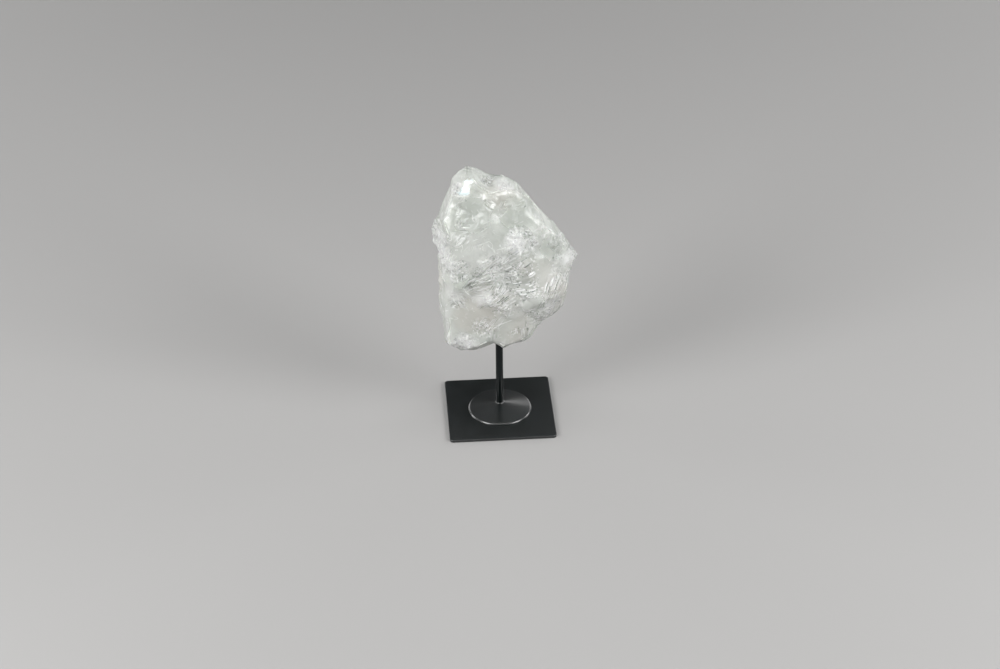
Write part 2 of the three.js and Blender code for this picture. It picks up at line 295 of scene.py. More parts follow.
# Where the stone is crushed, clear, stained or bruised white, where dark flecks are
# painted in, standing for dark surroundings seen through clear spots, and where a clean
# face shows: the middle of each spot and its reach, in mm.
STONE_SPOTS = {
    "rough": [((4, -38, 168), 32), ((-56, -8, 196), 26), ((46, -29, 126), 27),
              ((-42, -8, 252), 9), ((-34, -28, 100), 15), ((-8, -4, 261), 8),
              ((62, -18, 172), 20), ((18, -36, 205), 18), ((-18, -34, 118), 12),
              ((-40, -28, 178), 13), ((-40, -28, 146), 12), ((56, -24, 200), 12),
              ((10, 32, 190), 40), ((-30, 24, 110), 36), ((40, 20, 130), 30)],
    "grey": [((24, -22, 230), 24), ((-22, -22, 232), 18), ((30, -20, 96), 14),
             ((50, -26, 196), 14), ((-36, -32, 168), 9), ((20, 34, 210), 30)],
    "warm": [((-24, -34, 130), 22), ((-40, 10, 150), 26)],
    "white": [((-56, -8, 196), 18), ((-34, -28, 96), 15), ((6, -8, 257), 11),
              ((64, -18, 178), 9), ((16, -36, 206), 13), ((-44, -28, 150), 8),
              ((-16, -36, 150), 10), ((48, -28, 136), 12), ((-46, -22, 186), 10),
              ((-42, -8, 255), 9)],
    "dark": [((-37, -8, 254), 2.6), ((-41, -12, 250), 1.8), ((-37, -16, 246), 1.8),
             ((-9, -3, 259), 1.6), ((24, -19, 236), 1.6), ((-16, -33, 186), 1.6),
             ((-21, -33, 165), 1.8), ((8, -38, 159), 1.6), ((38, -40, 150), 2.0),
             ((24, -31, 112), 2.4), ((32, -30, 114), 2.0), ((46, -28, 129), 2.4),
             ((62, -19, 148), 2.0), ((-43, -28, 101), 1.8), ((-29, -33, 98), 1.6)],
    "window": [((-31, -10, 259), 11)],
}
# How softly each kind of spot fades at its edge, as a share of its reach.
SPOT_BLUR = {"rough": 0.6, "grey": 0.6, "warm": 0.6, "white": 0.7, "dark": 0.9,
             "window": 0.4}

# The clean face at the top left, a small flat break that shines softly; its pale
# blue-white colour is a painted highlight. Its middle in mm and the way it faces. Round it
# the crown falls off towards the front.
WINDOW_MIDDLE = (-31.0, -8.6, 258.1)
WINDOW_FACING = Vector((-0.43, -0.76, 0.49)).normalized()
CROWN_BACK = 9 * MM
CROWN_HEIGHTS = (246 * MM, 262 * MM)
CROWN_FALL = 0.18

# Where the break runs out in feathered steps on the front: the point they spread from
# (mm across, mm up), their reach in mm and the turns in degrees between which they lie.
FEATHERS = [
    ((-50, 150), (8, 88), (2, 44)),
    ((-44, 118), (28, 68), (18, 52)),
    ((4, 58), (72, 122), (50, 72)),
    ((40, 100), (92, 112), (82, 93)),
    ((14, 0), (84, 118), (82, 94)),
]
FAN_EDGE_REACH = 8 * MM
FAN_EDGE_TURN = 6 * MM

# A pattern comes in by a smooth step between two levels, not at a hard line.
SOFT = {"interpolation_type": "SMOOTHSTEP"}


def merged_copy(node, name):
    """A CAD node's surface as a mesh of its own, with the loose corners joined."""
    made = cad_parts[node].data.copy()
    made.name = name
    skin = bmesh.new()
    skin.from_mesh(made)
    bmesh.ops.remove_doubles(skin, verts=skin.verts, dist=JOIN_WITHIN)
    skin.to_mesh(made)
    skin.free()
    return made


def remeshed(mesh, grid):
    """The same closed surface on an even grid of small faces."""
    holder = bpy.data.objects.new("stone_blank", mesh)
    bpy.context.scene.collection.objects.link(holder)
    step = holder.modifiers.new("grid", "REMESH")
    step.mode = "VOXEL"
    step.voxel_size = grid
    depsgraph = bpy.context.evaluated_depsgraph_get()
    made = bpy.data.meshes.new_from_object(holder.evaluated_get(depsgraph))
    bpy.data.objects.remove(holder)
    return made


# Rock crystal, freshly broken and unpolished. Its small faces glint and its broad breaks
# shine softly. Veils of tiny bubbles and healed cracks scatter the light inside and make
# it milky, and the clear parts look grey because they let it through.
QUARTZ_MILK = "#dcdeda"
QUARTZ_GREY = "#ccd0ca"
QUARTZ_CLEAR = "#bec3bc"
QUARTZ_WARM = "#d3d0c9"
# White of veils, cracks and bruises, also used for the painted highlight on flake lips and
# the painted glow of ridges.
QUARTZ_WHITE_AND_HIGHLIGHT = "#ffffff"
# A painted highlight: the pale blue-white of the clean face.
QUARTZ_WINDOW_HIGHLIGHT = "#e8f4f8"
# Painted darkness: the shade along some steps and the dark seen in crushed places.
QUARTZ_PAINTED_SHADE_DARK = "#7e8780"
# Painted darkness: the dark surroundings seen through small clear spots.
QUARTZ_PAINTED_DARK_SPECK = "#565d58"
QUARTZ_DEPTH = "#f1f3ee"
QUARTZ_IOR = 1.544
QUARTZ_CLEARNESS = 0.5
QUARTZ_MILKINESS = 0.8
QUARTZ_SCATTER = 15 * MM
QUARTZ_ABSORPTION = 2.0
FLAKE_SIZE = 4 * MM
# The side of each flake on which its lip gets a painted highlight.
FLAKE_LIGHT_SIDE = Vector((0.55, 0.0, 0.83))
BUNDLE_SIZE = 13 * MM
BUNDLE_SWAY = 6 * MM
ASKEW = (0.5, 0.35, 0.6)         # how the growth layers lie in the block, in radians

# Real crumbs and step lines go down to 0.2 mm. These are as coarse as they need to show:
# crumbs, the grit between them, and one step line's width and length.
CRUMB_SIZE = 1.6 * MM
GRIT_SIZE = 2.1 * MM
BUNDLE_STEP = (1.3 * MM, 11 * MM)

# Cloudy patterns: the size of a cloud in mm, its detail, and where the pattern is cut.
CLOUDS = {
    "hazy": (34, 3.0, 0.0), "stained": (50, 1.0, 3.7), "rimmed": (9, 2.0, 1.3),
    "cracked": (15, 2.0, 5.3), "layered": (30, 1.0, 4.4), "upright": (30, 1.0, 9.9),
    "bundled": (12, 2.0, 7.7), "scattered": (19, 2.0, 2.7),
}
# Thin growth layers, flat and upright: a cloud's size along each axis in mm, and the cut.
LAYERS = {"layer": ((13, 13, 1.6), 2.2), "upright layer": ((2.0, 2.0, 13), 6.6)}

rock_crystal, tree = new_material("rock_crystal_rough_broken")
place = add(tree, "ShaderNodeTexCoord").outputs["Object"]
rough, grey, warm, white, dark, window, fan, edge = (
    add(tree, "ShaderNodeAttribute", attribute_name=name).outputs["Fac"]
    for name in ("rough", "grey", "warm", "white", "dark", "window", "feathered", "ridge"))

# Clouds and layers, milky veils, the drift that the cracks follow, the finest roughness,
# and a sway that keeps the cells from lying in straight rows.
clouds = {}
for name, (size, detail, cut) in CLOUDS.items():
    clouds[name] = add(tree, "ShaderNodeTexNoise", {
        "Vector": place, "W": cut, "Scale": 1 / (size * MM), "Detail": detail},
        noise_dimensions="4D")
askew = add(tree, "ShaderNodeVectorRotate", {"Vector": place, "Rotation": ASKEW},
            rotation_type="EULER_XYZ")
for name, (sizes, cut) in LAYERS.items():
    drawn_out = add(tree, "ShaderNodeVectorMath", (
        askew, tuple(1 / (size * MM) for size in sizes)), operation="MULTIPLY")
    clouds[name] = add(tree, "ShaderNodeTexNoise", {
        "Vector": drawn_out, "W": cut, "Scale": 1.0, "Detail": 1.5},
        noise_dimensions="4D")
veils = add(tree, "ShaderNodeTexNoise", {
    "Vector": place, "W": 0.0, "Scale": 1 / (13 * MM), "Detail": 6.0, "Roughness": 0.62,
    "Distortion": 0.9}, noise_dimensions="4D")
drift = add(tree, "ShaderNodeTexNoise", {
    "Vector": place, "W": 8.1, "Scale": 1 / (11 * MM), "Detail": 2.0, "Distortion": 0.8},
    noise_dimensions="4D")
fine = add(tree, "ShaderNodeTexNoise", {
    "Vector": place, "W": 0.0, "Scale": 1 / (1.7 * MM), "Detail": 4.0, "Roughness": 0.65},
    noise_dimensions="4D")
sway = add(tree, "ShaderNodeTexNoise", {
    "Vector": place, "Scale": 1 / (9 * MM), "Detail": 3.0}).outputs["Color"]
sway = add(tree, "ShaderNodeVectorMath", (sway, (0.5, 0.5, 0.5)), operation="SUBTRACT")
sway = add(tree, "ShaderNodeVectorMath", {0: sway, "Scale": BUNDLE_SWAY},
           operation="SCALE")
swayed = add(tree, "ShaderNodeVectorMath", (place, sway), operation="ADD")

# Flakes of 4 mm: only the lip on the side that faces the light shows, as a pale line of
# painted highlight.
flakes = add(tree, "ShaderNodeTexVoronoi", {"Vector": swayed, "Scale": 1 / FLAKE_SIZE})
flake_chance = add(tree, "ShaderNodeSeparateColor", (flakes.outputs["Color"],)).outputs
flake_rim = add(tree, "ShaderNodeTexVoronoi", {"Vector": swayed, "Scale": 1 / FLAKE_SIZE},
                feature="DISTANCE_TO_EDGE")
flake_side = add(tree, "ShaderNodeVectorMath", (
    swayed, flakes.outputs["Position"]), operation="SUBTRACT")
flake_side = add(tree, "ShaderNodeVectorMath", (
    flake_side, tuple(FLAKE_LIGHT_SIDE / FLAKE_SIZE)),
    operation="DOT_PRODUCT").outputs["Value"]

# Crumbs of 1.6 mm, each a small face with its own tilt, and sharper grit between them.
crumbs = add(tree, "ShaderNodeTexVoronoi", {"Vector": place, "Scale": 1 / CRUMB_SIZE})
crumb_chance = add(tree, "ShaderNodeSeparateColor", (crumbs.outputs["Color"],)).outputs
crumb_tilt = add(tree, "ShaderNodeVectorMath", (
    crumbs.outputs["Color"], (0.5, 0.5, 0.5)), operation="SUBTRACT")
crumb_spot = add(tree, "ShaderNodeVectorMath", (
    place, crumbs.outputs["Position"]), operation="SUBTRACT")
crumb_rise = add(tree, "ShaderNodeVectorMath", (
    crumb_tilt, crumb_spot), operation="DOT_PRODUCT").outputs["Value"]
grit = add(tree, "ShaderNodeTexVoronoi", {
    "Vector": add(tree, "ShaderNodeVectorRotate", {
        "Vector": place, "Rotation": (0.4, 0.9, 0.3)}, rotation_type="EULER_XYZ"),
    "Scale": 1 / GRIT_SIZE}, distance="MANHATTAN")


def step_lines(across, length, seed):
    """Long narrow steps side by side, given how many widths across and how many lengths
    along a point lies: their height, their pale lines and their dark lines."""
    strip = add(tree, "ShaderNodeMath", (across,), operation="FLOOR")
    within = add(tree, "ShaderNodeMath", (across, strip), operation="SUBTRACT")
    slip = add(tree, "ShaderNodeTexWhiteNoise", {
        "W": add(tree, "ShaderNodeMath", (strip, seed), operation="ADD")},
        noise_dimensions="1D")
    part = add(tree, "ShaderNodeMath", (slip, 5.0, length), operation="MULTIPLY_ADD")
    part = add(tree, "ShaderNodeMath", (part,), operation="FLOOR")
    number = add(tree, "ShaderNodeCombineXYZ", (strip, part, seed))
    chance = add(tree, "ShaderNodeTexWhiteNoise", {"Vector": number}).outputs["Color"]
    chance = add(tree, "ShaderNodeSeparateColor", (chance,)).outputs
    # Each strip leans to one side or the other. Three strips in ten have a pale line along
    #     # one side, and one in eight has a dark line along the other, a painted shade
    #     beside the step.
    lean = add(tree, "ShaderNodeMath", (chance[0], 2.0, -1.0), operation="MULTIPLY_ADD")
    spot = add(tree, "ShaderNodeMath", (within, 0.5), operation="SUBTRACT")
    height = add(tree, "ShaderNodeMath", (lean, spot), operation="MULTIPLY")
    lines = []
    for side, middle, odds, share in (("LESS_THAN", 0.6, "GREATER_THAN", 0.70),
                                      ("GREATER_THAN", 0.5, "LESS_THAN", 0.13)):
        half = add(tree, "ShaderNodeMath", (within, middle), operation=side)
        drawn = add(tree, "ShaderNodeMath", (chance[1], share), operation=odds)
        lines.append(add(tree, "ShaderNodeMath", (half, drawn), operation="MULTIPLY"))
    return height, *lines


# Bundles of fine parallel steps. Each bundle takes its own way over the stone, drawn by
# lot round one common slant.
bundle = add(tree, "ShaderNodeTexVoronoi", {
    "Vector": swayed, "Scale": 1 / BUNDLE_SIZE}).outputs["Color"]
turned_so = add(tree, "ShaderNodeVectorMath", (
    bundle, (1.6, 0.9, 1.6), (-1.35, -0.45, -0.4)), operation="MULTIPLY_ADD")
turned_so = add(tree, "ShaderNodeVectorMath", (turned_so,), operation="NORMALIZE")
lies_so = add(tree, "ShaderNodeVectorMath", (
    turned_so, (0.2, 1.0, 0.1)), operation="CROSS_PRODUCT")
lies_so = add(tree, "ShaderNodeVectorMath", (lies_so,), operation="NORMALIZE")
bundle_seed = add(tree, "ShaderNodeMath", (
    add(tree, "ShaderNodeSeparateColor", (bundle,)).outputs["Blue"], 91.0),
    operation="MULTIPLY")
ways = []
for way, size in zip((turned_so, lies_so), BUNDLE_STEP):
    reach = add(tree, "ShaderNodeVectorMath", (place, way), operation="DOT_PRODUCT")
    ways.append(add(tree, "ShaderNodeMath", (reach.outputs["Value"], size),
                    operation="DIVIDE"))
step_rise, step_pale, step_dark = step_lines(*ways, bundle_seed)

# The feathered fans carry the same lines, along the fan that the relief stored.
spread = add(tree, "ShaderNodeAttribute", attribute_name="fan").outputs["Vector"]
spread = add(tree, "ShaderNodeSeparateXYZ", (spread,)).outputs
waver = add(tree, "ShaderNodeMath", (fine, 0.2), operation="MULTIPLY")
fan_rise, fan_pale, fan_dark = step_lines(
    add(tree, "ShaderNodeMath", (spread["X"], 2.0, waver), operation="MULTIPLY_ADD"),
    add(tree, "ShaderNodeMath", (spread["Y"], 1.1), operation="MULTIPLY"), 7.0)

# Crushed places, which the fans mostly replace; bruised white places, which also lie along
# ridges, where the white is partly bruising and partly a painted glow of the thin lit
# edges; and how busy the skin is with small marks.
crushed = add(tree, "ShaderNodeMath", (fan, -0.85, 1.0), operation="MULTIPLY_ADD")
crushed = add(tree, "ShaderNodeMath", (rough, crushed), operation="MULTIPLY")
rim_glow = add(tree, "ShaderNodeMapRange", (clouds["rimmed"], 0.45, 0.6, 0.0, 0.8), **SOFT)
rim_glow = add(tree, "ShaderNodeMath", (edge, rim_glow), operation="MULTIPLY")
bruised_and_rim_glow = add(tree, "ShaderNodeMath", (white, rim_glow), operation="MAXIMUM")
veiled = add(tree, "ShaderNodeMapRange", (veils, 0.4, 0.65, 0.0, 0.5), **SOFT)
busy = add(tree, "ShaderNodeMath", (crushed, bruised_and_rim_glow), operation="MAXIMUM")
busy = add(tree, "ShaderNodeMath", (busy, veiled), operation="MULTIPLY")
busy = add(tree, "ShaderNodeMath", (crushed, 0.5, busy), operation="MULTIPLY_ADD")
crack = add(tree, "ShaderNodeMath", (drift, 0.5), operation="SUBTRACT")
crack = add(tree, "ShaderNodeMath", (crack,), operation="ABSOLUTE")
broken = add(tree, "ShaderNodeMath", (rough, 0.6), operation="MULTIPLY")
broken = add(tree, "ShaderNodeMath", (edge, broken), operation="MAXIMUM")

# A mark shows where all of its patterns come in: each with the levels between which it
# rises. A first level above the second turns the pattern over.
MARKS = {
    "milk": [(clouds["hazy"], 0.35, 0.65)],
    "stain": [(clouds["stained"], 0.5, 0.7)],
    "veil": [(veils, 0.56, 0.74)],
    "crack": [(crack, 0.014, 0.005), (clouds["cracked"], 0.54, 0.62)],
    "layer": [(clouds["layer"], 0.66, 0.70), (clouds["layered"], 0.46, 0.54)],
    "upright layer": [(clouds["upright layer"], 0.66, 0.70),
                      (clouds["upright"], 0.46, 0.54)],
    # A painted highlight along the lip of each flake that faces the light.
    "flake lip highlight": [(flake_rim, 0.09, 0.03), (flake_side, 0.1, 0.3),
                  (flake_chance[1], 0.5, 0.6), (busy, 0.1, 0.5)],
    "white crumb": [(crumb_chance[2], 0.80, 0.84), (busy, 0.1, 0.5)],
    # Painted darkness in crushed places, and dark specks and flecks standing for dark
    # surroundings seen through clear spots.
    "painted dark crumb": [(crumb_chance[2], 0.14, 0.10), (busy, 0.15, 0.6)],
    "speck": [(crumb_chance[1], 0.90, 0.92), (crumbs, 0.45, 0.3)],
    "dark fleck": [(fine, 0.5, 0.56)],
    "bundle": [(crushed, 0.2, 0.5), (clouds["bundled"], 0.53, 0.6)],
    "scattered bundle": [(clouds["scattered"], 0.56, 0.62)],
    "no fan": [(fan, 0.5, 0.1)],
    "fan": [(fan, 0.15, 0.5)],
}
marks = {}
for name, patterns in MARKS.items():
    here = 1.0
    for pattern, low, high in patterns:
        rises = add(tree, "ShaderNodeMapRange", (pattern, low, high), **SOFT)
        here = add(tree, "ShaderNodeMath", (here, rises), operation="MULTIPLY")
    marks[name] = here
in_bundle = add(tree, "ShaderNodeMath", (marks["scattered bundle"], 0.5),
                operation="MULTIPLY")
in_bundle = add(tree, "ShaderNodeMath", (marks["bundle"], in_bundle), operation="MAXIMUM")
in_bundle = add(tree, "ShaderNodeMath", (in_bundle, marks["no fan"]), operation="MULTIPLY")
slivers, shade_lines = (
    add(tree, "ShaderNodeMath", (
        in_fan, marks["fan"],
        add(tree, "ShaderNodeMath", (in_step, in_bundle), operation="MULTIPLY")),
        operation="MULTIPLY_ADD")
    for in_step, in_fan in ((step_pale, fan_pale), (step_dark, fan_dark)))
growth = add(tree, "ShaderNodeMath", (marks["layer"], marks["upright layer"]),
             operation="MAXIMUM")
# Dark specks on crushed faces and edges, and dark flecks at the listed spots: painted
# darkness standing for dark surroundings seen through clear spots.
specks = add(tree, "ShaderNodeMath", (marks["speck"], broken), operation="MULTIPLY")
dark_flecks = add(tree, "ShaderNodeMath", (marks["dark fleck"], dark), operation="MULTIPLY")

# The colours, each laid over the ones before it: where it lies, and its share there. The
# white is partly painted highlight on the flake lips and painted glow on the ridges, the
# clean face's colour is a painted highlight, and the dark lines, crumbs, specks and flecks
# are painted darkness.
colour = linear(QUARTZ_GREY)
for hue, here, share in (
        (QUARTZ_MILK, marks["milk"], 1.0), (QUARTZ_WARM, marks["stain"], 0.6),
        (QUARTZ_WARM, warm, 0.6), (QUARTZ_CLEAR, grey, 0.7),
        (QUARTZ_WHITE_AND_HIGHLIGHT, marks["veil"], 0.3), (QUARTZ_PAINTED_SHADE_DARK, marks["painted dark crumb"], 0.65),
        (QUARTZ_PAINTED_SHADE_DARK, shade_lines, 0.8), (QUARTZ_WHITE_AND_HIGHLIGHT, bruised_and_rim_glow, 0.6),
        (QUARTZ_WHITE_AND_HIGHLIGHT, marks["white crumb"], 0.9), (QUARTZ_WHITE_AND_HIGHLIGHT, slivers, 0.8),
        (QUARTZ_WHITE_AND_HIGHLIGHT, marks["flake lip highlight"], 0.9), (QUARTZ_WHITE_AND_HIGHLIGHT, marks["crack"], 0.9),
        (QUARTZ_WHITE_AND_HIGHLIGHT, growth, 0.6), (QUARTZ_PAINTED_DARK_SPECK, specks, 1.0),
        (QUARTZ_PAINTED_DARK_SPECK, dark_flecks, 0.75), (QUARTZ_WINDOW_HIGHLIGHT, window, 1.0)):
    laid = add(tree, "ShaderNodeMath", (here, share), operation="MULTIPLY")
    colour = add(tree, "ShaderNodeMix", {0: laid, 6: colour, 7: linear(hue)},
                 data_type="RGBA").outputs[2]

# The relief that is finer than the mesh: each pattern, where it lies, and its height in
# m, or its slope where the pattern is a tilt.
gritty = add(tree, "ShaderNodeMapRange", (busy, 0.0, 0.5, 0.18, 1.0), **SOFT)
crumbly = add(tree, "ShaderNodeMapRange", (busy, 0.05, 0.5), **SOFT)
grainy = add(tree, "ShaderNodeMapRange", (rough, 0.0, 0.8, 0.2, 0.8), **SOFT)
rise = 0.0
for pattern, here, height in (
        (grit, gritty, 0.4 * MM), (crumb_rise, crumbly, 1.3), (fine, grainy, 0.3 * MM),
        (step_rise, in_bundle, 2.2 * MM), (fan_rise, marks["fan"], 2.7 * MM),
        (marks["crack"], 1.0, 0.25 * MM), (growth, 1.0, 0.25 * MM)):
    here = add(tree, "ShaderNodeMath", (here, height), operation="MULTIPLY")
    rise = add(tree, "ShaderNodeMath", (pattern, here, rise), operation="MULTIPLY_ADD")
relief = add(tree, "ShaderNodeBump", {"Height": rise, "Strength": 1.0, "Distance": 1.0})

# Frost: the crushed faces are made of small glossy ones, the broad breaks are duller.
frost = add(tree, "ShaderNodeMath", (rough, fan), operation="MAXIMUM")
frost = add(tree, "ShaderNodeMapRange", (frost, 0.1, 0.5, 0.2, 0.03), **SOFT)
for here, share in (
        (add(tree, "ShaderNodeMapRange", (veils, 0.35, 0.7), **SOFT), 0.05),
        (edge, 0.2), (grey, 0.09), (window, 0.12)):
    frost = add(tree, "ShaderNodeMath", (here, share, frost), operation="MULTIPLY_ADD")

crystal = add(tree, "ShaderNodeBsdfPrincipled", {
    "Base Color": colour, "Roughness": frost, "IOR": QUARTZ_IOR,
    "Transmission Weight": QUARTZ_CLEARNESS, "Subsurface Weight": QUARTZ_MILKINESS,
    "Subsurface Radius": (1.0, 1.0, 0.97), "Subsurface Scale": QUARTZ_SCATTER,
    "Normal": relief})
inside = add(tree, "ShaderNodeVolumeAbsorption", {
    "Color": linear(QUARTZ_DEPTH), "Density": QUARTZ_ABSORPTION})
add(tree, "ShaderNodeOutputMaterial", {"Surface": crystal, "Volume": inside})


# The sizes that the relief's tree takes as inputs: chips in two sizes, feathered steps,
# and the block's outermost corners, which nothing passes.
STONE_RELIEF = {
    "Chip Size": 13 * MM,
    "Chip Slope": 0.22,
    "Flake Size": 5.5 * MM,
    "Flake Slope": 0.28,
    "Feather Width": 2.6 * MM,
    "Feather Length": 9 * MM,
    "Feather Depth": 0.2 * MM,
    "Feather Tilt": 0.5,
    "Lowest Corner": tuple(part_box("quartz")[0]),
    "Highest Corner": tuple(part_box("quartz")[1]),
}

# Each kind of chip: how its cells lie turned, in radians, and how much of it is left on
# the faces that are neither crushed nor a ridge.
CHIPS = {"Chip": ((0.5, 0.3, 0.8), 0.28), "Flake": ((1.1, 0.7, 0.2), 0.18)}
CHIP_MIDDLE = 0.55                        # nearer to its middle than this a chip is raised

# The stone is evened before the chips are pressed in. Its outline, near the middle plane,
# and its foot with the rod's hole keep their shape: where the evening begins, where it is
# full, and its full share.
OUTLINE_KEPT = (4 * MM, 13 * MM)
FOOT_KEPT = (96 * MM, 112 * MM)
EVENED = 0.97
RIDGE_STANDS = (0.5 * MM, 1.8 * MM)       # how far a ridge stands out of the evened stone

# The clouds in which the edges of spots wander and crushed places come and go, and those
# that group and bend the feathered steps.
WANDER_SIZE = 16 * MM
PATCH_SIZE = 24 * MM
FAN_GROUP_SIZE = 13 * MM
FAN_BEND_SIZE = 22 * MM
FAN_BEND = (0.7, 0.3, 0.0)                # in feather widths and lengths
FRONT = (0, -1, 0)

ROOM_USED = 0.6                           # of the room up to the outermost corners
WINDOW_PARED = (0.02 * MM, 0.15 * MM)     # how much is cut away where the face is clean


def broken_face_tree():
    """Small chips, feathered steps and worn ridges pressed into the stone's skin."""
    made = bpy.data.node_groups.new("broken_face", "GeometryNodeTree")
    face = made.interface
    face.new_socket("Geometry", in_out="INPUT", socket_type="NodeSocketGeometry")
    sizes = {}
    for name, value in STONE_RELIEF.items():
        kind = "NodeSocketVector" if isinstance(value, tuple) else "NodeSocketFloat"
        socket = face.new_socket(name, in_out="INPUT", socket_type=kind)
        socket.default_value = value
        sizes[name] = socket.identifier
    finish = face.new_socket("Finish", in_out="INPUT", socket_type="NodeSocketMaterial")
    face.new_socket("Geometry", in_out="OUTPUT", socket_type="NodeSocketGeometry")
    given = add(made, "NodeGroupInput").outputs
    at = add(made, "GeometryNodeInputPosition")
    out = add(made, "GeometryNodeInputNormal")

    # Ridges stand out from the evened stone; broad faces meet in soft folds.
    spot = add(made, "ShaderNodeSeparateXYZ", (at,)).outputs
    aside = add(made, "ShaderNodeMath", (spot["Y"],), operation="ABSOLUTE")
    aside = add(made, "ShaderNodeMapRange", (aside, *OUTLINE_KEPT), **SOFT)
    above = add(made, "ShaderNodeMapRange", (spot["Z"], *FOOT_KEPT, 0.0, EVENED), **SOFT)
    eased = add(made, "ShaderNodeMath", (aside, above), operation="MULTIPLY")
    even = add(made, "GeometryNodeBlurAttribute", {"Value": at, "Iterations": 40},
               data_type="FLOAT_VECTOR")
    stand = add(made, "ShaderNodeVectorMath", (at, even), operation="SUBTRACT")
    stand = add(made, "ShaderNodeVectorMath", (stand, out), operation="DOT_PRODUCT")
    ridge = add(made, "ShaderNodeMapRange", (
        stand.outputs["Value"], *RIDGE_STANDS), **SOFT)
    start = add(made, "GeometryNodeBlurAttribute", {
        "Value": at, "Iterations": 30, "Weight": eased}, data_type="FLOAT_VECTOR")
    out = add(made, "GeometryNodeBlurAttribute", {"Value": out, "Iterations": 10},
              data_type="FLOAT_VECTOR")
    out = add(made, "ShaderNodeVectorMath", (out,), operation="NORMALIZE")

    # Rough and tinted places. Their edges wander, the soft ones more than the sharp ones.
    drift = add(made, "ShaderNodeTexNoise", {
        "Vector": at, "Scale": 1 / WANDER_SIZE, "Detail": 4.0}).outputs["Color"]
    drift = add(made, "ShaderNodeVectorMath", (drift, (0.5, 0.5, 0.5)),
                operation="SUBTRACT")
    places = {}
    for kind, spots in STONE_SPOTS.items():
        blur = SPOT_BLUR[kind]
        places[kind] = 0.0
        for middle, reach in spots:
            away = add(made, "ShaderNodeVectorMath", {
                0: drift, "Scale": reach * 1.3 * blur * MM}, operation="SCALE")
            away = add(made, "ShaderNodeVectorMath", (away, at), operation="ADD")
            away = add(made, "ShaderNodeVectorMath", (
                away, tuple(c * MM for c in middle)), operation="DISTANCE")
            near = add(made, "ShaderNodeMapRange", (
                away.outputs["Value"], reach * (1 + blur / 3) * MM,
                reach * (1 - blur / 1.5) * MM), **SOFT)
            places[kind] = add(made, "ShaderNodeMath", (places[kind], near),
                               operation="MAXIMUM")
    # Crushed places are patchy: they come and go between half and whole, and a trace of
    # them lies in patches on the rest of the stone.
    patches = add(made, "ShaderNodeTexNoise", {
        "Vector": at, "Scale": 1 / PATCH_SIZE, "Detail": 4.0})
    patches = add(made, "ShaderNodeMapRange", (patches, 0.44, 0.66), **SOFT)
    patchy = add(made, "ShaderNodeMath", (patches, 0.6, 0.5), operation="MULTIPLY_ADD")
    patchy = add(made, "ShaderNodeMath", (places["rough"], patchy), operation="MULTIPLY")
    places["rough"] = add(made, "ShaderNodeMath", (patches, 0.15, patchy),
                          operation="MULTIPLY_ADD")

    # Chips: small flat faces that meet in sharp ridges, in two sizes.
    chipped = add(made, "ShaderNodeMath", (ridge, 0.8), operation="MULTIPLY")
    chipped = add(made, "ShaderNodeMath", (places["rough"], chipped), operation="MAXIMUM")
    rise = 0.0
    for kind, (turn, least) in CHIPS.items():
        size, slope = given[kind + " Size"], given[kind + " Slope"]
        shift = add(made, "ShaderNodeTexNoise", {
            "Vector": at, "Detail": 2.0,
            "Scale": add(made, "ShaderNodeMath", (0.5, size), operation="DIVIDE")})
        shift = add(made, "ShaderNodeVectorMath", (
            shift.outputs["Color"], (0.5, 0.5, 0.5)), operation="SUBTRACT")
        shift = add(made, "ShaderNodeVectorMath", {0: shift, "Scale": size},
                    operation="SCALE")
        where = add(made, "ShaderNodeVectorMath", (at, shift), operation="ADD")
        where = add(made, "ShaderNodeVectorRotate", {"Vector": where, "Rotation": turn},
                    rotation_type="EULER_XYZ")
        cells = add(made, "ShaderNodeTexVoronoi", {
            "Vector": where,
            "Scale": add(made, "ShaderNodeMath", (1.0, size), operation="DIVIDE")},
            distance="MANHATTAN")
        peak = add(made, "ShaderNodeMath", (CHIP_MIDDLE, cells), operation="SUBTRACT")
        share = add(made, "ShaderNodeMapRange", (chipped, 0.0, 0.8, least, 1.0), **SOFT)
        for factor in (size, slope, share):
            peak = add(made, "ShaderNodeMath", (peak, factor), operation="MULTIPLY")
        rise = add(made, "ShaderNodeMath", (rise, peak), operation="ADD")

    # Feathered steps: fine ridges that spread from one point, on faces that look forward.
    # A point's place in its fan is counted in feather widths round and lengths out.
    fan = add(made, "ShaderNodeCombineXYZ", (0.0, 0.0, 0.0))
    in_fan = 0.0
    forward = add(made, "ShaderNodeVectorMath", (out, FRONT),
                  operation="DOT_PRODUCT").outputs["Value"]
    forward = add(made, "ShaderNodeMapRange", (forward, 0.15, 0.45), **SOFT)
    for (across, up), reach, turn in FEATHERS:
        u = add(made, "ShaderNodeMath", (spot["X"], across * MM), operation="SUBTRACT")
        v = add(made, "ShaderNodeMath", (spot["Z"], up * MM), operation="SUBTRACT")
        angle = add(made, "ShaderNodeMath", (v, u), operation="ARCTAN2")
        away = add(made, "ShaderNodeVectorMath", (
            add(made, "ShaderNodeCombineXYZ", (u, v, 0.0)),), operation="LENGTH")
        away = away.outputs["Value"]
        near, far = (r * MM for r in reach)
        low, high = (math.radians(t) for t in turn)
        soft_turn = 2 * FAN_EDGE_TURN / (near + far)
        this = forward
        for value, first, full in ((away, near, near + FAN_EDGE_REACH),
                                   (away, far, far - FAN_EDGE_REACH),
                                   (angle, low, low + soft_turn),
                                   (angle, high, high - soft_turn)):
            rises = add(made, "ShaderNodeMapRange", (value, first, full), **SOFT)
            this = add(made, "ShaderNodeMath", (this, rises), operation="MULTIPLY")
        round_it = add(made, "ShaderNodeMath", (angle, (near + far) / 2),
                       operation="MULTIPLY")
        here = add(made, "ShaderNodeCombineXYZ", (
            add(made, "ShaderNodeMath", (round_it, given["Feather Width"]),
                operation="DIVIDE"),
            add(made, "ShaderNodeMath", (away, given["Feather Length"]),
                operation="DIVIDE"), 0.0))
